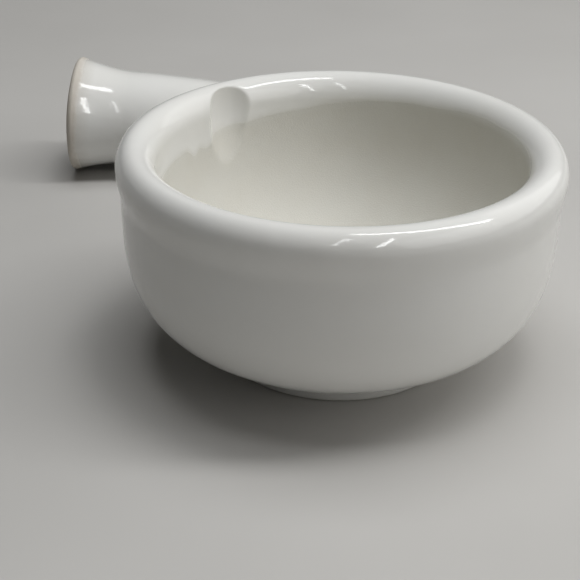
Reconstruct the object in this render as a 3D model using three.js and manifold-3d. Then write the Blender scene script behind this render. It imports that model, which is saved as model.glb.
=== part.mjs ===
// Mortar and pestle: two loose pieces of glazed porcelain, in millimetres, +Z up.
//
// The mortar stands on its foot ring. The pestle lies on the same table behind it, tipped a little, so
// that the edge of its grinding head and the swell near its handle end both touch the table. The origin
// is on the table, under the middle of the space that the two pieces take up together.

import * as THREE from 'three';
import { mergeVertices } from 'three/addons/utils/BufferGeometryUtils.js';
import Module from 'manifold-3d';

// Mortar: driving dimensions.
const MORTAR_HEIGHT = 66.4;
const LIP_RADIUS = 65; // outside of the lip
const CREST_RADIUS = 60; // top of the lip
const LIP_OUTER_DROP = 6.3; // height of the lip's round outside the crest
const LIP_INNER_DROP = 7.5; // and inside it
const BELLY_RADIUS = 63.8; // outer wall where it stands upright, below the lip
const BELLY_HEIGHT = 51; // height of that upright stretch
const BELLY_FLOOR = 4.8; // height at which the belly's curve would reach the axis
const BELLY_SQUARENESS = 3.45; // exponent of the belly's superellipse
const HOLLOW_RADIUS = 53.6; // inner wall where it stands upright, below the lip
const HOLLOW_FLOOR = 13.5; // lowest point inside the bowl
const HOLLOW_SQUARENESS = 2.4;
const FOOT_RADIUS = 36;
const FOOT_RING_WIDTH = 5.5; // flat width that stands on the table
const FOOT_CHAMFER = 0.6;
const FOOT_FILLET = 1.5; // between the foot's side and the belly
const FOOT_RECESS = 3; // depth of the hollow under the foot
const RECESS_SLOPE = 1.2; // how far the recess's side leans inwards

// Pouring groove: the print of a thick wheel with a rounded rim on the inside of the lip and the wall.
const GROOVE_WHEEL_RADIUS = 34.2;
const GROOVE_RIM_RADIUS = 8.5; // half the wheel's thickness
const GROOVE_WHEEL_OFFSET = 23.7; // from the mortar's axis to the wheel's centre
const GROOVE_WHEEL_HEIGHT = 62.5;
const GROOVE_BEARING = THREE.MathUtils.degToRad(129.3); // seen from the mortar's axis
const GROOVE_SLANT = THREE.MathUtils.degToRad(6); // sideways lean of its upper end, towards +X

// Pestle: driving dimensions. Distances run along its axis from the edge of the grinding head.
const PESTLE_LENGTH = 155; // to the tip of the handle
const HEAD_RADIUS = 22;
const HEAD_DOME = 4.2; // how far the grinding face bulges beyond the edge
const HEAD_EDGE_ROUND = 1.6;
const FLARE_LENGTH = 20; // over which the head narrows to the handle
const FLARE_POWER = 1.6; // 1 is a plain cone, more is more like a trumpet
const NECK_RADIUS = 18; // handle radius where the flare ends
const WAIST_RADIUS = 13; // thinnest part of the handle
const WAIST_AT = 126;
const SWELL_RADIUS = 13.6; // slight swell before the rounded tip
const SWELL_AT = 143;
const TIP_SQUARENESS = 2.3;

// Where the pestle lies: from the mortar's axis to the centre of the head's edge.
const PESTLE_OFFSET_X = -97.9;
const PESTLE_OFFSET_Y = 137.8;
const PESTLE_TURN = THREE.MathUtils.degToRad(-2.4); // turns the handle's tip towards the mortar

const MORTAR_SEGMENTS = 64;
const PESTLE_SEGMENTS = 40;
const GROOVE_SEGMENTS = 100;

const wasm = await Module();
wasm.setup();

// Points on part of an ellipse in the (radius, height) plane. Angles in degrees, 0 pointing outwards.
function ellipseArc(centre, across, up, fromDegrees, toDegrees, steps) {
  const points = [];
  for (let i = 0; i <= steps; i += 1) {
    const angle = THREE.MathUtils.degToRad(fromDegrees + ((toDegrees - fromDegrees) * i) / steps);
    const offset = new THREE.Vector2(across * Math.cos(angle), up * Math.sin(angle));
    points.push(offset.add(centre));
  }
  return points;
}

function arc(centreRadius, centreHeight, radius, fromDegrees, toDegrees, steps) {
  const centre = new THREE.Vector2(centreRadius, centreHeight);
  return ellipseArc(centre, radius, radius, fromDegrees, toDegrees, steps);
}

// A bowl curve is a quarter of a superellipse: upright and `width` from the axis at height `top`, and
// level where it reaches the axis, `depth` lower. `squareness` is its exponent, and 2 gives an ellipse.
function bowlCurve({ top, width, depth, squareness }, fromRadius, toRadius, steps) {
  const power = 2 / squareness;
  const start = Math.acos((fromRadius / width) ** (1 / power));
  const end = Math.acos((toRadius / width) ** (1 / power));
  const points = [];
  for (let i = 0; i <= steps; i += 1) {
    const angle = start + ((end - start) * i) / steps;
    const drop = depth * Math.sin(angle) ** power;
    points.push(new THREE.Vector2(width * Math.cos(angle) ** power, top - drop));
  }
  return points;
}

function bowlHeightAt({ top, width, depth, squareness }, radius) {
  return top - depth * (1 - (radius / width) ** squareness) ** (1 / squareness);
}

// A smooth change of radius that leaves the outline upright at both ends.
function blendCurve(fromRadius, fromHeight, toRadius, toHeight, steps) {
  const reach = (toHeight - fromHeight) / 3;
  const curve = new THREE.CubicBezierCurve(
    new THREE.Vector2(fromRadius, fromHeight),
    new THREE.Vector2(fromRadius, fromHeight + reach),
    new THREE.Vector2(toRadius, toHeight - reach),
    new THREE.Vector2(toRadius, toHeight),
  );
  return curve.getPoints(steps);
}

// Revolves an outline that starts and ends on the axis, and stands the axis along +Z.
function revolve(points, segments) {
  const geometry = new THREE.LatheGeometry(points, segments);
  geometry.rotateX(Math.PI / 2);
  return geometry;
}

function toSolid(geometry) {
  const bare = geometry.clone();
  bare.deleteAttribute('normal');
  bare.deleteAttribute('uv');
  const merged = mergeVertices(bare, 1e-4);
  const mesh = new wasm.Mesh({
    numProp: 3,
    vertProperties: new Float32Array(merged.attributes.position.array),
    triVerts: new Uint32Array(merged.index.array),
  });
  return new wasm.Manifold(mesh);
}

function toGeometry(solid) {
  const mesh = solid.getMesh();
  const geometry = new THREE.BufferGeometry();
  geometry.setAttribute('position', new THREE.BufferAttribute(mesh.vertProperties, 3));
  geometry.setIndex(new THREE.BufferAttribute(mesh.triVerts, 1));
  geometry.computeVertexNormals();
  return geometry;
}

const belly = {
  top: BELLY_HEIGHT,
  width: BELLY_RADIUS,
  depth: BELLY_HEIGHT - BELLY_FLOOR,
  squareness: BELLY_SQUARENESS,
};

const hollow = {
  top: MORTAR_HEIGHT - LIP_INNER_DROP,
  width: HOLLOW_RADIUS,
  depth: MORTAR_HEIGHT - LIP_INNER_DROP - HOLLOW_FLOOR,
  squareness: HOLLOW_SQUARENESS,
};

// Recess, flat bearing ring, chamfer, upright side, and the fillet that runs into the belly.
function footOutline() {
  const bearingOuter = FOOT_RADIUS - FOOT_CHAMFER;
  const bearingInner = bearingOuter - FOOT_RING_WIDTH;
  const bellyRadius = FOOT_RADIUS + FOOT_FILLET;
  const filletCentreHeight = bowlHeightAt(belly, bellyRadius) - FOOT_FILLET;
  return [
    new THREE.Vector2(0, FOOT_RECESS),
    new THREE.Vector2(bearingInner - RECESS_SLOPE, FOOT_RECESS),
    new THREE.Vector2(bearingInner, 0),
    new THREE.Vector2(bearingOuter, 0),
    new THREE.Vector2(FOOT_RADIUS, FOOT_CHAMFER),
    ...arc(bellyRadius, filletCentreHeight, FOOT_FILLET, 180, 90, 3).slice(0, -1),
  ];
}

// From the axis under the foot, out and up the outside, over the lip and down the hollow to the axis.
function mortarOutline() {
  const outer = new THREE.Vector2(CREST_RADIUS, MORTAR_HEIGHT - LIP_OUTER_DROP);
  const inner = new THREE.Vector2(CREST_RADIUS, hollow.top);
  return [
    ...footOutline(),
    ...bowlCurve(belly, FOOT_RADIUS + FOOT_FILLET, BELLY_RADIUS, 12),
    ...blendCurve(BELLY_RADIUS, BELLY_HEIGHT, LIP_RADIUS, outer.y, 4).slice(1, -1),
    ...ellipseArc(outer, LIP_RADIUS - CREST_RADIUS, LIP_OUTER_DROP, 0, 90, 6),
    ...ellipseArc(inner, CREST_RADIUS - HOLLOW_RADIUS, LIP_INNER_DROP, 90, 180, 7).slice(1, -1),
    ...bowlCurve(hollow, hollow.width, 0, 14).slice(0, -1),
    new THREE.Vector2(0, HOLLOW_FLOOR),
  ];
}

// The wheel that shapes the groove. It stands on its rim, its axis level and across the groove.
function grooveWheel() {
  const rimCentre = GROOVE_WHEEL_RADIUS - GROOVE_RIM_RADIUS;
  const wheel = revolve(
    [
      new THREE.Vector2(0, -GROOVE_RIM_RADIUS),
      ...arc(rimCentre, 0, GROOVE_RIM_RADIUS, -90, 90, 18),
      new THREE.Vector2(0, GROOVE_RIM_RADIUS),
    ],
    GROOVE_SEGMENTS,
  );
  wheel.rotateX(Math.PI / 2 + GROOVE_SLANT);
  wheel.translate(GROOVE_WHEEL_OFFSET, 0, GROOVE_WHEEL_HEIGHT);
  wheel.rotateZ(GROOVE_BEARING);
  return wheel;
}

function makeMortar() {
  const bowl = toSolid(revolve(mortarOutline(), MORTAR_SEGMENTS));
  const geometry = toGeometry(bowl.subtract(toSolid(grooveWheel())));
  const glaze = new THREE.MeshStandardMaterial({ color: 0xe4e3dd, roughness: 0.12, metalness: 0 });
  const mortar = new THREE.Mesh(geometry, glaze);
  mortar.name = 'mortar';
  return mortar;
}

// The rounded tip, the swell and the tapered handle, up to where the flare begins. The pestle stands on
// its tip with the edge of the head at height 0.
function handleOutline() {
  const tip = {
    top: -SWELL_AT,
    width: SWELL_RADIUS,
    depth: PESTLE_LENGTH - SWELL_AT,
    squareness: TIP_SQUARENESS,
  };
  return [
    new THREE.Vector2(0, -PESTLE_LENGTH),
    ...bowlCurve(tip, 0, SWELL_RADIUS, 6).slice(1),
    ...blendCurve(SWELL_RADIUS, -SWELL_AT, WAIST_RADIUS, -WAIST_AT, 3).slice(1, -1),
    ...blendCurve(WAIST_RADIUS, -WAIST_AT, NECK_RADIUS, -FLARE_LENGTH, 8).slice(0, -1),
  ];
}

// The trumpet flare, the rounded edge, and the dome of the grinding face, which leaves the edge smoothly.
function headOutline() {
  const flare = [];
  const flareSteps = 6;
  for (let i = 0; i < flareSteps; i += 1) {
    const along = i / flareSteps;
    const radius = NECK_RADIUS + (HEAD_RADIUS - NECK_RADIUS) * along ** FLARE_POWER;
    flare.push(new THREE.Vector2(radius, FLARE_LENGTH * (along - 1)));
  }
  const edge = HEAD_RADIUS - HEAD_EDGE_ROUND;
  const domeRise = HEAD_DOME - HEAD_EDGE_ROUND;
  const domeRadius = (edge ** 2 + HEAD_DOME ** 2 - HEAD_EDGE_ROUND ** 2) / (2 * domeRise);
  const domeCentre = HEAD_DOME - domeRadius;
  const joinDegrees = THREE.MathUtils.radToDeg(Math.atan2(-domeCentre, edge));
  return [
    ...flare,
    ...arc(edge, 0, HEAD_EDGE_ROUND, 0, joinDegrees, 4),
    ...arc(0, domeCentre, domeRadius, joinDegrees, 90, 6).slice(1, -1),
    new THREE.Vector2(0, HEAD_DOME),
  ];
}

function makePestle() {
  const geometry = revolve([...handleOutline(), ...headOutline()], PESTLE_SEGMENTS);
  const glaze = new THREE.MeshStandardMaterial({ color: 0xe2e1da, roughness: 0.14, metalness: 0 });
  const pestle = new THREE.Mesh(geometry, glaze);
  pestle.name = 'pestle';
  return pestle;
}

// Lays the pestle down with its head towards -X, touching the table at the head's edge and at the swell.
function layDown(pestle) {
  const tip = Math.atan2(HEAD_RADIUS - SWELL_RADIUS, SWELL_AT);
  pestle.rotation.set(0, tip - Math.PI / 2, PESTLE_TURN, 'ZYX');
  pestle.position.set(PESTLE_OFFSET_X, PESTLE_OFFSET_Y, 0);
  pestle.position.z = -new THREE.Box3().setFromObject(pestle, true).min.z;
}

const set = new THREE.Group();
const pestle = makePestle();
layDown(pestle);
set.add(makeMortar(), pestle);

const middle = new THREE.Box3().setFromObject(set, true).getCenter(new THREE.Vector3());
set.position.set(-middle.x, -middle.y, 0);

export default set;
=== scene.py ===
"""Mortar and pestle: two loose pieces of glazed porcelain on a pale table.

The glaze covers the outside and the rounded lip and ends in a wavy edge a little way down the inside.
Below that edge the porcelain is bare and matt, as it is on the foot ring and on the pestle's grinding
face. Both pieces are revolved from outlines in millimetres, and the mortar's pouring groove is pressed
into the inside of the lip and the wall below it.
"""

import math

import bpy
import numpy as np
from mathutils import Matrix, Vector


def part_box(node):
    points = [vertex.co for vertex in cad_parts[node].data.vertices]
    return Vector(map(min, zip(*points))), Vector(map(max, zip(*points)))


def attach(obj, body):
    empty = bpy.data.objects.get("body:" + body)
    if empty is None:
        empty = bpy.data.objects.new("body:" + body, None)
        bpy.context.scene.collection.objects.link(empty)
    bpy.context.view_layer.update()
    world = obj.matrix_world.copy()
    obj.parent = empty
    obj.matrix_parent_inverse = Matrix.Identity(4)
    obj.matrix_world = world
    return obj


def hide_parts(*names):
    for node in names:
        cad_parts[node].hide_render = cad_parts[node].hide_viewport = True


MM = 0.001

# Mortar outline.
MORTAR_HEIGHT = 66.4
LIP_RADIUS = 65.0
CREST_RADIUS = 60.0  # where the lip is highest
LIP_OUTER_DROP = 6.3  # from the crest down to the lip's widest place
LIP_INNER_DROP = 7.5  # from the crest down to the top of the hollow
BELLY_RADIUS = 63.8
BELLY_HEIGHT = 51.0
BELLY_FLOOR = 4.8  # where the belly's curve would meet the axis
BELLY_SQUARENESS = 3.45
HOLLOW_RADIUS = 53.6
HOLLOW_FLOOR = 13.5
HOLLOW_SQUARENESS = 2.4
FOOT_RADIUS = 36.0
FOOT_RING_WIDTH = 5.5  # flat width that stands on the table
FOOT_CHAMFER = 0.6
FOOT_FILLET = 1.5  # between the foot's side and the belly
FOOT_RECESS = 3.0  # depth of the hollow under the foot
RECESS_SLOPE = 1.2  # how far the recess's side leans inwards
RECESS_ROUNDING = 1.2  # the four corners from the recess to the foot's side, in that order
RING_INNER_ROUNDING = 0.7
RING_OUTER_ROUNDING = 0.5
CHAMFER_ROUNDING = 0.4

# Pouring groove: the print of a thick wheel with a rounded rim on the inside of the lip and the wall.
GROOVE_WHEEL_RADIUS = 34.2
GROOVE_RIM_RADIUS = 8.5
GROOVE_WHEEL_OFFSET = 23.7  # from the mortar's axis to the wheel's centre
GROOVE_WHEEL_HEIGHT = 62.5
GROOVE_BEARING = math.radians(129.3)
GROOVE_SLANT = math.radians(6)
GROOVE_DROP = 23.5  # from the mortar's top to the groove's lower end
GROOVE_FOOT_MARGIN = 4.0  # how far the fine mesh and the smoothing go on below that
GROOVE_FOOT = MORTAR_HEIGHT - GROOVE_DROP - GROOVE_FOOT_MARGIN
GROOVE_SOFTNESS = 0.5  # how gently its edges melt into the wall
GROOVE_SMOOTHING = 7  # rounds of smoothing around it
GROOVE_HALF_WIDTH = 11.0  # reach of that smoothing to either side
GROOVE_FADE = 4.0  # over which it fades out

# Pestle outline, along its axis from the edge of the grinding head.
PESTLE_LENGTH = 155.0
HEAD_RADIUS = 22.0
HEAD_DOME = 4.2  # how far the middle of the grinding face stands out
HEAD_EDGE_ROUND = 1.6
FLARE_LENGTH = 20.0
FLARE_POWER = 1.6
NECK_RADIUS = 18.0
WAIST_RADIUS = 13.0
WAIST_AT = 126.0
SWELL_RADIUS = 13.6  # slight swell before the rounded tip
SWELL_AT = 143.0
TIP_SQUARENESS = 2.3
PESTLE_TURN = math.radians(-2.4)

# Where the glaze ends. Ripples are given as waves round the piece, height and phase.
BARE_SUNK = 0.1  # how far the bare surface inside the bowl lies below the glaze
GLAZE_EDGE_WIDTH = 1.8  # over which it comes up to the glaze
GLAZE_EDGE_HEIGHT = 56.0  # height of the glaze's edge inside the bowl
GLAZE_EDGE_TILT = 6.1  # it runs this much higher on one side and lower on the other
GLAZE_EDGE_TILT_BEARING = math.radians(15)
GLAZE_EDGE_RIPPLES = ((5, 0.25, 0.4), (9, 0.2, 2.1), (14, 0.15, 4.4), (23, 0.08, 1.3))
GLAZE_RUNS = (  # bearing and width in degrees, and drop
    (140.5, 3.5, 2.8),
    (147, 2.5, 3.0),
    (262, 6, 2),
    (318, 5, 1.6),
)
RING_RIPPLES = ((17, 0.12, 1.0), (41, 0.08, 0.0))
HEAD_BARE_RIM = 1.9  # bare band on the pestle next to the edge of its face
HEAD_GLAZE_FADE = 0.45  # the glaze thins out more gently there than inside the bowl
HEAD_RIPPLES = ((3, 0.25, 0.7), (7, 0.2, 2.0), (16, 0.1, 0.0))

# Fineness of the meshes.
MORTAR_TURNS = 384  # mesh columns round the mortar
PESTLE_TURNS = 192
GROOVE_CROWDING = 0.38  # column spacing at the groove, as a share of the average spacing
CORNER_STEPS = 8  # on each small rounded corner
FLARE_POINTS = 80


# ---------------------------------------------------------------- curves and meshes


def ellipse_arc(centre, across, up, start, stop, steps=48):
    """Points on part of an ellipse in the (radius, height) plane. Angles in degrees."""
    angle = np.radians(np.linspace(start, stop, steps + 1))
    return np.stack([centre[0] + across * np.cos(angle), centre[1] + up * np.sin(angle)], 1)


def bowl_curve(bowl, start_radius, stop_radius, steps=400):
    """Part of a quarter superellipse: upright at the bowl's top, level where it meets the axis."""
    power = 2 / bowl["squareness"]
    start = math.acos((start_radius / bowl["width"]) ** (1 / power))
    stop = math.acos((stop_radius / bowl["width"]) ** (1 / power))
    angle = np.linspace(start, stop, steps + 1)
    radius = bowl["width"] * np.abs(np.cos(angle)) ** power
    return np.stack([radius, bowl["top"] - bowl["depth"] * np.sin(angle) ** power], 1)


def bowl_radius(bowl, height):
    """Radius of that superellipse at a height."""
    fall = np.clip((bowl["top"] - height) / bowl["depth"], 0, 1)
    return bowl["width"] * (1 - fall ** bowl["squareness"]) ** (1 / bowl["squareness"])


def bowl_height(bowl, radius):
    """Height of that superellipse at a radius."""
    inside = (1 - (radius / bowl["width"]) ** bowl["squareness"]) ** (1 / bowl["squareness"])
    return bowl["top"] - bowl["depth"] * inside


def blend_curve(start, stop, steps=60):
    """A smooth change of radius that leaves the outline upright at both ends."""
    t = np.linspace(0, 1, steps + 1)
    radius = start[0] + (stop[0] - start[0]) * t * t * (3 - 2 * t)
    return np.stack([radius, start[1] + (stop[1] - start[1]) * t], 1)


def rounded_path(corners):
    """A polyline whose inner corners (radius, height, rounding) are replaced by rounded ones."""
    path = [np.array(corners[0][:2], float)]
    for before, corner, after in zip(corners, corners[1:], corners[2:]):
        at = np.array(corner[:2], float)
        back = np.array(before[:2], float) - at
        ahead = np.array(after[:2], float) - at
        back /= np.linalg.norm(back)
        ahead /= np.linalg.norm(ahead)
        half = math.acos(np.clip(back @ ahead, -1, 1)) / 2
        reach = corner[2] / math.tan(half)
        start = at + back * reach
        stop = at + ahead * reach
        for t in np.linspace(0, 1, CORNER_STEPS + 1):  # a quadratic curve is close to an arc at these sizes
            path.append((1 - t) ** 2 * start + 2 * t * (1 - t) * at + t * t * stop)
    path.append(np.array(corners[-1][:2], float))
    return np.array(path)


def distance_along(curve):
    """Distance from the start of a curve to each of its points."""
    return np.concatenate([[0], np.cumsum(np.linalg.norm(np.diff(curve, axis=0), axis=1))])


def resample(curve, spacing):
    """Points at even distances along a curve, both ends kept."""
    along = distance_along(curve)
    count = max(2, math.ceil(along[-1] / spacing))
    even = np.linspace(0, along[-1], count + 1)
    return np.stack([np.interp(even, along, curve[:, 0]), np.interp(even, along, curve[:, 1])], 1)


def join(pieces):
    """Joins (curve, spacing) pieces that follow on from each other into one outline."""
    parts = [resample(curve, spacing) for curve, spacing in pieces]
    return np.concatenate([parts[0]] + [part[1:] for part in parts[1:]])


def smoothstep(x):
    x = np.clip(x, 0, 1)
    return x * x * (3 - 2 * x)


def soft_maximum(a, b, softness):
    """The larger of a and b, rounded off where they are nearly the same."""
    near = np.maximum(softness - np.abs(a - b), 0) / softness
    return np.maximum(a, b) + near * near * softness / 4


def ripples(bearing, waves):
    return sum(height * np.sin(count * bearing + phase) for count, height, phase in waves)


def revolve(radius, height, bearing):
    """A grid (column, row, xyz) from the radius and height of every point."""
    return np.stack([radius * np.cos(bearing), radius * np.sin(bearing), height], -1)


def grid_mesh(name, grid, into_glaze):
    """A closed mesh from a grid (column, row, xyz) whose first and last rows lie on the axis."""
    columns, rows = grid.shape[:2]
    inner = grid[:, 1:-1].reshape(-1, 3)
    points = np.concatenate([grid[:1, 0], inner, grid[:1, -1]])
    per_column = rows - 2
    last = len(points) - 1

    def index(column, row):
        return 1 + (column % columns) * per_column + row

    faces = []
    for column in range(columns):
        faces.append((0, index(column + 1, 0), index(column, 0)))
        for row in range(per_column - 1):
            lower = (index(column, row), index(column + 1, row))
            upper = (index(column + 1, row + 1), index(column, row + 1))
            faces.append(lower + upper)
        faces.append((index(column, per_column - 1), index(column + 1, per_column - 1), last))
    mesh = bpy.data.meshes.new(name)
    mesh.from_pydata(points.tolist(), [], faces)
    mesh.polygons.foreach_set("use_smooth", [True] * len(mesh.polygons))
    values = np.concatenate([into_glaze[:1, 0], into_glaze[:, 1:-1].reshape(-1), into_glaze[:1, -1]])
    layer = mesh.attributes.new("into_glaze", "FLOAT", "POINT")
    layer.data.foreach_set("value", values.astype(np.float32))
    mesh.update()
    piece = bpy.data.objects.new(name, mesh)
    bpy.context.scene.collection.objects.link(piece)
    return piece


# ---------------------------------------------------------------- mortar

BELLY = {
    "top": BELLY_HEIGHT,
    "width": BELLY_RADIUS,
    "depth": BELLY_HEIGHT - BELLY_FLOOR,
    "squareness": BELLY_SQUARENESS,
}
HOLLOW = {
    "top": MORTAR_HEIGHT - LIP_INNER_DROP,
    "width": HOLLOW_RADIUS,
    "depth": MORTAR_HEIGHT - LIP_INNER_DROP - HOLLOW_FLOOR,
    "squareness": HOLLOW_SQUARENESS,
}


def mortar_foot():
    """The point on the floor under the mortar's axis."""
    lo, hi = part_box("mortar")
    return Vector(((lo.x + hi.x) / 2, (lo.y + hi.y) / 2, lo.z))


def foot_outline(side_height):
    """From the axis under the foot, out over the bearing ring and up to the given height on its side."""
    ring_outer = FOOT_RADIUS - FOOT_CHAMFER
    ring_inner = ring_outer - FOOT_RING_WIDTH
    return rounded_path(
        [
            (0, FOOT_RECESS, 0),
            (ring_inner - RECESS_SLOPE, FOOT_RECESS, RECESS_ROUNDING),
            (ring_inner, 0, RING_INNER_ROUNDING),
            (ring_outer, 0, RING_OUTER_ROUNDING),
            (FOOT_RADIUS, FOOT_CHAMFER, CHAMFER_ROUNDING),
            (FOOT_RADIUS, side_height, 0),
        ]
    )


def mortar_outline():
    """From the axis under the foot, up the outside, over the lip and down to the axis inside.

    Each piece of the outline comes with the spacing of its mesh rows.
    """
    belly_start = FOOT_RADIUS + FOOT_FILLET
    fillet_height = bowl_height(BELLY, belly_start) - FOOT_FILLET
    foot = foot_outline(fillet_height)
    recess_end = 1 + CORNER_STEPS  # the last point of the rounded corner between the recess and its side
    outer = (CREST_RADIUS, MORTAR_HEIGHT - LIP_OUTER_DROP)
    inner = (CREST_RADIUS, HOLLOW["top"])
    groove_foot_radius = bowl_radius(HOLLOW, GROOVE_FOOT)
    return join(
        [
            (foot[: recess_end + 1], 0.9),
            (foot[recess_end:], 0.3),
            (ellipse_arc((belly_start, fillet_height), FOOT_FILLET, FOOT_FILLET, 180, 90), 0.3),
            (bowl_curve(BELLY, belly_start, BELLY_RADIUS), 1.0),
            (blend_curve((BELLY_RADIUS, BELLY_HEIGHT), (LIP_RADIUS, outer[1])), 0.8),
            (ellipse_arc(outer, LIP_RADIUS - CREST_RADIUS, LIP_OUTER_DROP, 0, 90), 0.4),
            (ellipse_arc(inner, CREST_RADIUS - HOLLOW_RADIUS, LIP_INNER_DROP, 90, 180), 0.3),
            (bowl_curve(HOLLOW, HOLLOW_RADIUS, groove_foot_radius), 0.33),
            (bowl_curve(HOLLOW, groove_foot_radius, 0), 1.0),
        ]
    )


def mortar_bearings():
    """Column bearings, crowded together near the groove."""
    u = np.arange(MORTAR_TURNS) / MORTAR_TURNS * 2 - 1
    return GROOVE_BEARING + math.pi * (GROOVE_CROWDING * u + (1 - GROOVE_CROWDING) * u**3)


def glaze_edge_height(bearing):
    """Height of the wavy edge of the glaze inside the bowl, with a few runs where it has flowed down."""
    height = GLAZE_EDGE_HEIGHT + GLAZE_EDGE_TILT * np.cos(bearing - GLAZE_EDGE_TILT_BEARING)
    height = height + ripples(bearing, GLAZE_EDGE_RIPPLES)
    for at, width, drop in GLAZE_RUNS:
        away = (np.degrees(bearing) - at + 180) % 360 - 180
        height = height - drop * np.exp(-((away / width) ** 2))
    return height


def distance_from_ring(outline, bearing):
    """Distance along the outside from the bare foot ring, negative on the ring."""
    along = distance_along(outline)
    on_ring = along[outline[:, 1] < FOOT_CHAMFER]
    middle = (on_ring[0] + on_ring[-1]) / 2
    half_width = (on_ring[-1] - on_ring[0]) / 2
    return np.abs(along - middle) - half_width + ripples(bearing, RING_RIPPLES)


def sink_bare_inside(outline, radius, height, into_glaze, inside):
    """Lets the bare inside lie slightly lower than the glaze. The step is centred on the glaze's edge."""
    sunk = BARE_SUNK * (1 - smoothstep(into_glaze / GLAZE_EDGE_WIDTH + 0.5)) * inside
    tangent = np.gradient(outline, distance_along(outline), axis=0)
    radius = radius - sunk * tangent[:, 1]
    height = height + sunk * tangent[:, 0]
    radius[:, [0, -1]] = 0
    return radius, height


def groove_reach(bearing, height):
    """Distance from the mortar's axis to the far side of the groove's wheel. Negative where there is none."""
    rise = height - GROOVE_WHEEL_HEIGHT
    half_chord = np.sqrt(np.maximum(GROOVE_WHEEL_RADIUS**2 - rise**2, 0))
    middle = GROOVE_WHEEL_OFFSET + half_chord - GROOVE_RIM_RADIUS
    aside = -rise * math.tan(GROOVE_SLANT)
    turn = bearing - GROOVE_BEARING
    along = middle * np.cos(turn) + aside * np.sin(turn)
    under = along**2 - middle**2 - aside**2 + GROOVE_RIM_RADIUS**2
    reach = along + np.sqrt(np.maximum(under, 0))
    return np.where((under > 0) & (along > 0), reach, -1.0)


def press_groove(radius, height, bearing, inside):
    """Moves the wall out to the groove's wheel where the wheel reaches past it."""
    reach = groove_reach(bearing, height)
    pressed = soft_maximum(radius, reach, GROOVE_SOFTNESS)
    return np.where(inside & (height > GROOVE_FOOT) & (reach > 0), pressed, radius)


def groove_weight(bearing, height, inside):
    """1 on the groove and its edges, fading to 0 round them."""
    turn = np.abs((bearing - GROOVE_BEARING + math.pi) % (2 * math.pi) - math.pi)
    weight = 1 - smoothstep((turn * HOLLOW_RADIUS - GROOVE_HALF_WIDTH) / GROOVE_FADE)
    return weight * smoothstep((height - GROOVE_FOOT) / GROOVE_FADE) * inside


def smooth_groove(grid, weight):
    """Rounds the groove's edges by moving each point half way to the average of its neighbours."""
    for _ in range(GROOVE_SMOOTHING):
        beside = (np.roll(grid, 1, 0) + np.roll(grid, -1, 0)) / 2
        above_and_below = (np.roll(grid, 1, 1) + np.roll(grid, -1, 1)) / 2
        average = (beside + above_and_below) / 2
        grid = grid + 0.5 * weight[..., None] * (average - grid)
    return grid


def make_mortar():
    outline = mortar_outline()
    bearing = mortar_bearings()[:, None]
    radius = np.broadcast_to(outline[:, 0], (MORTAR_TURNS, len(outline)))
    height = np.broadcast_to(outline[:, 1], radius.shape)
    inside = np.arange(len(outline)) > outline[:, 1].argmax()
    above_edge = height - glaze_edge_height(bearing)
    into_glaze = np.where(inside, above_edge, distance_from_ring(outline, bearing))
    radius, height = sink_bare_inside(outline, radius, height, into_glaze, inside)
    radius = press_groove(radius, height, bearing, inside)
    grid = smooth_groove(revolve(radius, height, bearing), groove_weight(bearing, height, inside))
    return grid_mesh("mortar_porcelain", grid * MM + np.array(mortar_foot()), into_glaze)


# ---------------------------------------------------------------- pestle


def pestle_outline():
    """From the tip of the handle up to the middle of the grinding face, whose edge is at height 0."""
    tip = {
        "top": -SWELL_AT,
        "width": SWELL_RADIUS,
        "depth": PESTLE_LENGTH - SWELL_AT,
        "squareness": TIP_SQUARENESS,
    }
    t = np.linspace(0, 1, FLARE_POINTS)
    flare_radius = NECK_RADIUS + (HEAD_RADIUS - NECK_RADIUS) * t**FLARE_POWER
    edge = HEAD_RADIUS - HEAD_EDGE_ROUND
    dome_radius = (edge**2 + HEAD_DOME**2 - HEAD_EDGE_ROUND**2) / (2 * (HEAD_DOME - HEAD_EDGE_ROUND))
    dome_centre = HEAD_DOME - dome_radius
    join_angle = math.degrees(math.atan2(-dome_centre, edge))
    return join(
        [
            (bowl_curve(tip, 0, SWELL_RADIUS), 0.5),
            (blend_curve((SWELL_RADIUS, -SWELL_AT), (WAIST_RADIUS, -WAIST_AT)), 1.0),
            (blend_curve((WAIST_RADIUS, -WAIST_AT), (NECK_RADIUS, -FLARE_LENGTH)), 1.0),
            (np.stack([flare_radius, FLARE_LENGTH * (t - 1)], 1), 0.4),
            (ellipse_arc((edge, 0), HEAD_EDGE_ROUND, HEAD_EDGE_ROUND, 0, join_angle), 0.15),
            (ellipse_arc((0, dome_centre), dome_radius, dome_radius, join_angle, 90), 0.5),
        ]
    )


def lay_down(grid):
    """Lays the upright pestle on the floor inside its CAD box, on the edge of its head and on its swell."""
    lean = math.atan2(HEAD_RADIUS - SWELL_RADIUS, SWELL_AT)
    turn = Matrix.Rotation(PESTLE_TURN, 3, "Z") @ Matrix.Rotation(lean - math.pi / 2, 3, "Y")
    grid = grid @ np.array(turn).T * MM
    lo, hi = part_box("pestle")
    grid += np.array(lo + hi) / 2 - (grid.min((0, 1)) + grid.max((0, 1))) / 2
    grid[..., 2] += lo.z - grid[..., 2].min()
    return grid


def make_pestle():
    outline = pestle_outline()
    outline[[0, -1], 0] = 0
    bearing = (np.arange(PESTLE_TURNS) / PESTLE_TURNS * 2 * math.pi)[:, None]
    radius = np.broadcast_to(outline[:, 0], (PESTLE_TURNS, len(outline)))
    height = np.broadcast_to(outline[:, 1], radius.shape)
    into_glaze = (-HEAD_BARE_RIM + ripples(bearing, HEAD_RIPPLES) - height) * HEAD_GLAZE_FADE
    return grid_mesh("pestle_porcelain", lay_down(revolve(radius, height, bearing)), into_glaze)


# ---------------------------------------------------------------- materials

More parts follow.
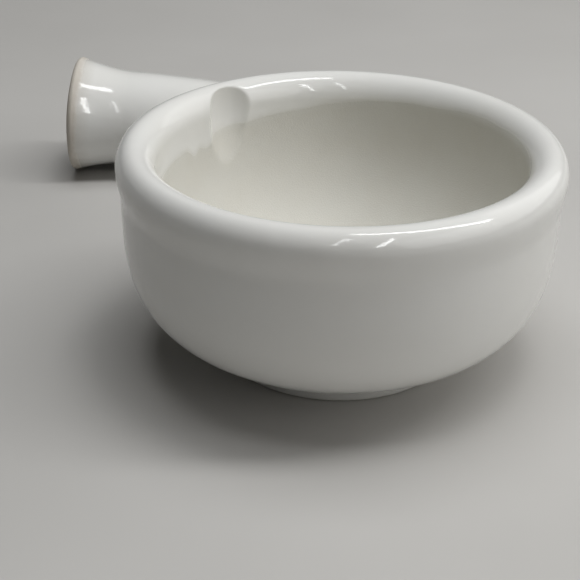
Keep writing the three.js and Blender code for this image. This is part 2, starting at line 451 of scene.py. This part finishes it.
GLAZE_COLOUR = (0.80, 0.80, 0.775)
GLAZE_WARM = (0.785, 0.78, 0.75)
BOWL_BARE_COLOUR = (0.67, 0.665, 0.62)
BOWL_BARE_WARM = (0.64, 0.625, 0.57)
HEAD_BARE_COLOUR = (0.62, 0.585, 0.53)
# The pestle's darker brown bare tone is partly a real stain and partly painted shade. It darkens its grinding
# face and the rounded edge of its head.
HEAD_BARE_STAIN_AND_SHADE = (0.44, 0.39, 0.32)
SPECK_COLOUR = (0.30, 0.26, 0.22)
FLOOR_COLOUR = (0.53, 0.52, 0.50)
FLOOR_SHADE = (0.50, 0.49, 0.47)

GLOSS_EDGE = 0.35  # half the width over which gloss turns to matt, in millimetres
EDGE_WOBBLE = 0.12  # how far that edge wanders, in millimetres
THIN_GLAZE_WIDTH = 2.2  # the glaze shows the warm body this near its edge, in millimetres
THIN_GLAZE_TINT = 0.3
PATCH_TINT = 0.5
# A tinted band of the bare porcelain next to the glaze: wear on the mortar, and on the pestle wear together
# with painted shade on its grinding face.
WEAR_AND_SHADE_TINT = 0.5
WEAR_AND_SHADE_START = 0.3  # the bare porcelain is tinted from here, in millimetres from the glaze: wear, and on the pestle also painted shade
WEAR_AND_SHADE_FULL = 2.2
GLAZE_ROUGHNESS = (0.05, 0.13)
BARE_ROUGHNESS = (0.62, 0.8)
FLOOR_ROUGHNESS = 0.7
GLAZE_SPECULAR = 0.5
BARE_SPECULAR = 0.25

SPECK_SCALE = 95.0  # cells per metre, each with room for one speck
SPECK_CORE = 0.018  # radii in cells, inside which a speck is full and outside which there is none
SPECK_RIM = 0.03
SPECK_STRENGTH = 0.6
SPECK_RARITY = 0.66  # specks only show where the cluster noise is above this

# Noises: lump size in millimetres, detail and roughness.
CLUSTER_NOISE = (28, 1, 0.5)
WAVE_NOISE = (14, 2, 0.5)
RIPPLE_NOISE = (3.8, 2, 0.5)
GRAIN_NOISE = (0.4, 3, 0.6)

# Patterns: a noise, and the two values between which it is stretched out.
WOBBLE_PATTERN = ((1.1, 2, 0.5), 0.3, 0.7)
CLOUD_PATTERN = ((36, 3, 0.5), 0.35, 0.7)
PATCH_PATTERN = ((17, 4, 0.6), 0.4, 0.75)
SMEAR_PATTERN = ((22, 4, 0.65), 0.35, 0.75)
GRIT_PATTERN = ((1.4, 2, 0.5), 0.3, 0.7)
FLOOR_PATTERN = ((110, 3, 0.5), 0.3, 0.7)

# Relief heights in millimetres.
WAVE_RELIEF = 0.22
RIPPLE_RELIEF = 0.02
GRAIN_RELIEF = 0.10


class Nodes:
    """A short way to write node trees."""

    def __init__(self, tree):
        self.tree = tree

    def add(self, kind, **inputs):
        node = self.tree.nodes.new(kind)
        for name, value in inputs.items():
            node.inputs[name].default_value = value
        return node

    def link(self, source, target):
        self.tree.links.new(source, target)

    def feed(self, value, socket):
        """Gives a socket a number, a colour or the output of another node."""
        if isinstance(value, tuple):
            socket.default_value = (*value, 1)
        elif isinstance(value, (int, float)):
            socket.default_value = value
        else:
            self.link(value, socket)

    def math(self, operation, a, b):
        node = self.add("ShaderNodeMath")
        node.operation = operation
        self.feed(a, node.inputs[0])
        self.feed(b, node.inputs[1])
        return node.outputs[0]

    def noise(self, where, size, detail, roughness):
        node = self.add("ShaderNodeTexNoise", Scale=1 / (size * MM), Detail=detail, Roughness=roughness)
        self.link(where, node.inputs["Vector"])
        return node.outputs["Fac"]

    def remap(self, value, low, high, to_low, to_high):
        node = self.add("ShaderNodeMapRange")
        for name, number in (("From Min", low), ("From Max", high), ("To Min", to_low), ("To Max", to_high)):
            node.inputs[name].default_value = number
        self.link(value, node.inputs["Value"])
        return node.outputs["Result"]

    def pattern(self, where, pattern, to_low, to_high):
        noise, low, high = pattern
        return self.remap(self.noise(where, *noise), low, high, to_low, to_high)

    def mix(self, factor, a, b):
        """The number a where the factor is 0 and b where it is 1."""
        node = self.add("ShaderNodeMix")
        for value, socket in ((factor, 0), (a, 2), (b, 3)):
            self.feed(value, node.inputs[socket])
        return node.outputs[0]

    def mix_colour(self, factor, a, b):
        """The colour a where the factor is 0 and b where it is 1."""
        node = self.add("ShaderNodeMix")
        node.data_type = "RGBA"
        for value, socket in ((factor, 0), (a, 6), (b, 7)):
            self.feed(value, node.inputs[socket])
        return node.outputs[2]

    def output(self, shader):
        self.link(shader.outputs[0], self.add("ShaderNodeOutputMaterial").inputs["Surface"])


def new_material(name):
    material = bpy.data.materials.new(name)
    material.use_nodes = True
    material.node_tree.nodes.clear()
    return material, Nodes(material.node_tree)


def porcelain_colour(n, where, distance, glazed, bare_colour, bare_stain_and_shade):
    """Soft clouds in the glaze, the warm body showing where it thins, patches and a band of wear on the bare
    porcelain, fine specks. On the pestle the bare tint is also painted shade on the grinding face.
    """
    glaze = n.mix_colour(n.pattern(where, CLOUD_PATTERN, 0, 1), GLAZE_COLOUR, GLAZE_WARM)
    thin = n.remap(distance, 0, THIN_GLAZE_WIDTH, THIN_GLAZE_TINT, 0)
    glaze = n.mix_colour(thin, glaze, bare_stain_and_shade)
    patch = n.pattern(where, PATCH_PATTERN, 0, PATCH_TINT)
    # The band by the glaze is wear on the mortar. On the pestle the same band is also painted shade.
    wear_and_shade = n.remap(distance, -WEAR_AND_SHADE_FULL, -WEAR_AND_SHADE_START, WEAR_AND_SHADE_TINT, 0)
    bare = n.mix_colour(n.math("ADD", patch, wear_and_shade), bare_colour, bare_stain_and_shade)
    colour = n.mix_colour(glazed, bare, glaze)

    cells = n.add("ShaderNodeTexVoronoi", Scale=SPECK_SCALE)
    n.link(where, cells.inputs["Vector"])
    speck = n.remap(cells.outputs["Distance"], SPECK_CORE, SPECK_RIM, SPECK_STRENGTH, 0)
    chosen = n.math("GREATER_THAN", n.noise(where, *CLUSTER_NOISE), SPECK_RARITY)
    return n.mix_colour(n.math("MULTIPLY", speck, chosen), colour, SPECK_COLOUR)


def porcelain_roughness(n, where, glazed):
    """Glossy glaze with faint smears, and matt bare porcelain."""
    smear = n.pattern(where, SMEAR_PATTERN, *GLAZE_ROUGHNESS)
    grit = n.pattern(where, GRIT_PATTERN, *BARE_ROUGHNESS)
    return n.mix(glazed, grit, smear)


def porcelain_relief(n, where, glazed):
    """Slow waves and faint ripples all over, and fine grain in the bare porcelain."""
    wave = n.math("MULTIPLY", n.noise(where, *WAVE_NOISE), WAVE_RELIEF * MM)
    ripple = n.math("MULTIPLY", n.noise(where, *RIPPLE_NOISE), RIPPLE_RELIEF * MM)
    grain = n.math("MULTIPLY", n.noise(where, *GRAIN_NOISE), GRAIN_RELIEF * MM)
    bare = n.math("SUBTRACT", 1, glazed)
    relief = n.math("ADD", n.math("ADD", wave, ripple), n.math("MULTIPLY", grain, bare))
    bump = n.add("ShaderNodeBump", Strength=1, Distance=1)
    n.link(relief, bump.inputs["Height"])
    return bump.outputs["Normal"]


def porcelain(name, bare_colour, bare_stain_and_shade):
    """Glazed porcelain that turns to bare porcelain where the mesh's into_glaze distance is negative."""
    material, n = new_material(name)
    where = n.add("ShaderNodeTexCoord").outputs["Object"]
    attribute = n.add("ShaderNodeAttribute")
    attribute.attribute_name = "into_glaze"
    wobble = n.pattern(where, WOBBLE_PATTERN, -EDGE_WOBBLE, EDGE_WOBBLE)
    distance = n.math("ADD", attribute.outputs["Fac"], wobble)
    glazed = n.remap(distance, -GLOSS_EDGE, GLOSS_EDGE, 0, 1)
    shader = n.add("ShaderNodeBsdfPrincipled")
    colour = porcelain_colour(n, where, distance, glazed, bare_colour, bare_stain_and_shade)
    n.link(colour, shader.inputs["Base Color"])
    n.link(porcelain_roughness(n, where, glazed), shader.inputs["Roughness"])
    n.link(porcelain_relief(n, where, glazed), shader.inputs["Normal"])
    n.link(n.remap(glazed, 0, 1, BARE_SPECULAR, GLAZE_SPECULAR), shader.inputs["Specular IOR Level"])
    n.output(shader)
    return material


def floor_material():
    material, n = new_material("pale_floor")
    where = n.add("ShaderNodeTexCoord").outputs["Object"]
    shader = n.add("ShaderNodeBsdfPrincipled", Roughness=FLOOR_ROUGHNESS)
    colour = n.mix_colour(n.pattern(where, FLOOR_PATTERN, 0, 1), FLOOR_COLOUR, FLOOR_SHADE)
    n.link(colour, shader.inputs["Base Color"])
    n.output(shader)
    return material


# ---------------------------------------------------------------- floor, light and camera
# Places are in metres from the point on the floor under the mortar's axis.

FLOOR_RADIUS = 1.3
FLOOR_SIDES = 96

ROOM_COLOUR = (0.99, 0.99, 0.97)
ROOM_LIGHT = 0.02  # how much the room lights the pieces
ROOM_SEEN = 0.24  # how bright it looks behind them

WINDOWS = (  # name, place, aim, size, radiance, colour
    ("window", (1.25, 0.45, 0.85), (0, 0, 0.02), (1.7, 1.3), 0.85, (1, 0.99, 0.97)),
    ("side", (1.15, -0.85, 0.7), (0, 0, 0.02), (1.5, 1.1), 1.0, (1, 0.985, 0.97)),
)
OVERHEAD = ("overhead", (0, 0.12, 1.45), (0, 0, 0), (0.9, 0.9), 3.9, (0.98, 0.99, 1))
# Strips of light: name, start, stop, width, radiance. The legs are only seen as highlights.
OVERHEAD_STRIP = ("overhead_strip", (0.06, 0, 1), (1.1, 0, 1), 0.14, 11.5)
LAMP_LEGS = (
    ("left_leg", (0.05, -0.5, 0.95), (-0.06, -0.92, 0.58), 0.035, 7),
    ("right_leg", (0.32, -0.5, 0.9), (0.27, -0.95, 0.45), 0.035, 14),
)

CAMERA_PLACE = (-0.01436, -0.34964, 0.20393)
CAMERA_DOWN = math.radians(28.13)
CAMERA_ROLL = math.radians(0.51)
CAMERA_SENSOR = 36
CAMERA_LENS = 80.69


def make_floor():
    turns = np.linspace(0, 2 * math.pi, FLOOR_SIDES, endpoint=False)
    corners = [(FLOOR_RADIUS * math.cos(turn), FLOOR_RADIUS * math.sin(turn), 0) for turn in turns]
    mesh = bpy.data.meshes.new("floor")
    mesh.from_pydata(corners, [], [range(FLOOR_SIDES)])
    mesh.materials.append(floor_material())
    floor = bpy.data.objects.new("floor", mesh)
    bpy.context.scene.collection.objects.link(floor)


def make_room():
    """A room that is dim as a light but pale where the camera sees it."""
    world = bpy.data.worlds.new("room")
    world.use_nodes = True
    background = world.node_tree.nodes["Background"]
    background.inputs["Color"].default_value = (*ROOM_COLOUR, 1)
    n = Nodes(world.node_tree)
    seen = n.add("ShaderNodeLightPath").outputs["Is Camera Ray"]
    n.link(n.remap(seen, 0, 1, ROOM_LIGHT, ROOM_SEEN), background.inputs["Strength"])
    bpy.context.scene.world = world
    bpy.context.scene.view_settings.view_transform = "Standard"


def area_light(name, at, aim, size, radiance, colour=(1, 1, 1)):
    """A rectangular soft light."""
    data = bpy.data.lights.new(name, "AREA")
    data.shape = "RECTANGLE"
    data.size, data.size_y = size
    data.energy = radiance * math.pi * size[0] * size[1]
    data.color = colour
    lamp = bpy.data.objects.new(name, data)
    lamp.location = mortar_foot() + Vector(at)
    lamp.rotation_mode = "QUATERNION"
    lamp.rotation_quaternion = (Vector(aim) - Vector(at)).to_track_quat("-Z", "Y")
    bpy.context.scene.collection.objects.link(lamp)
    return lamp


def strip_light(name, start, stop, width, radiance):
    """A long narrow light from start to stop that faces the mortar."""
    start, stop = Vector(start), Vector(stop)
    middle = (start + stop) / 2
    along = (stop - start).normalized()
    back = middle.normalized()
    back = (back - along * back.dot(along)).normalized()
    lamp = area_light(name, middle, (0, 0, 0), ((stop - start).length, width), radiance)
    lamp.rotation_quaternion = Matrix((along, back.cross(along), back)).transposed().to_quaternion()
    return lamp


def make_lights():
    for window in WINDOWS:
        area_light(*window)
    area_light(*OVERHEAD).visible_glossy = False  # too big and bright to be mirrored in the glaze
    strip_light(*OVERHEAD_STRIP)
    for leg in LAMP_LEGS:
        strip_light(*leg).visible_diffuse = False


def make_camera():
    data = bpy.data.cameras.new("camera")
    data.sensor_width = CAMERA_SENSOR
    data.lens = CAMERA_LENS
    camera = bpy.data.objects.new("camera", data)
    camera.location = mortar_foot() + Vector(CAMERA_PLACE)
    tilt = Matrix.Rotation(math.pi / 2 - CAMERA_DOWN, 4, "X")
    camera.rotation_mode = "QUATERNION"
    camera.rotation_quaternion = (tilt @ Matrix.Rotation(CAMERA_ROLL, 4, "Z")).to_quaternion()
    bpy.context.scene.collection.objects.link(camera)
    bpy.context.scene.camera = camera


# ---------------------------------------------------------------- scene

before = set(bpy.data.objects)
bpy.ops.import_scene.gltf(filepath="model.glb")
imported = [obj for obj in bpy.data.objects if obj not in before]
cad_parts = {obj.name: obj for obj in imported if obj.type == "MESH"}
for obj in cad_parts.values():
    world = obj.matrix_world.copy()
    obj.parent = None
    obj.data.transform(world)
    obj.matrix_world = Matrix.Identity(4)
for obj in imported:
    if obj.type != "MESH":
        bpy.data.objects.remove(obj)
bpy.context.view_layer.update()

mortar = make_mortar()
mortar.data.materials.append(porcelain("mortar_porcelain", BOWL_BARE_COLOUR, BOWL_BARE_WARM))
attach(mortar, "mortar")
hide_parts("mortar")

pestle = make_pestle()
# The pestle's bare tint is partly a stain and partly painted shade on its grinding face.
pestle.data.materials.append(porcelain("pestle_porcelain", HEAD_BARE_COLOUR, HEAD_BARE_STAIN_AND_SHADE))
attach(pestle, "pestle")
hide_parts("pestle")

make_floor()
make_room()
make_lights()
make_camera()
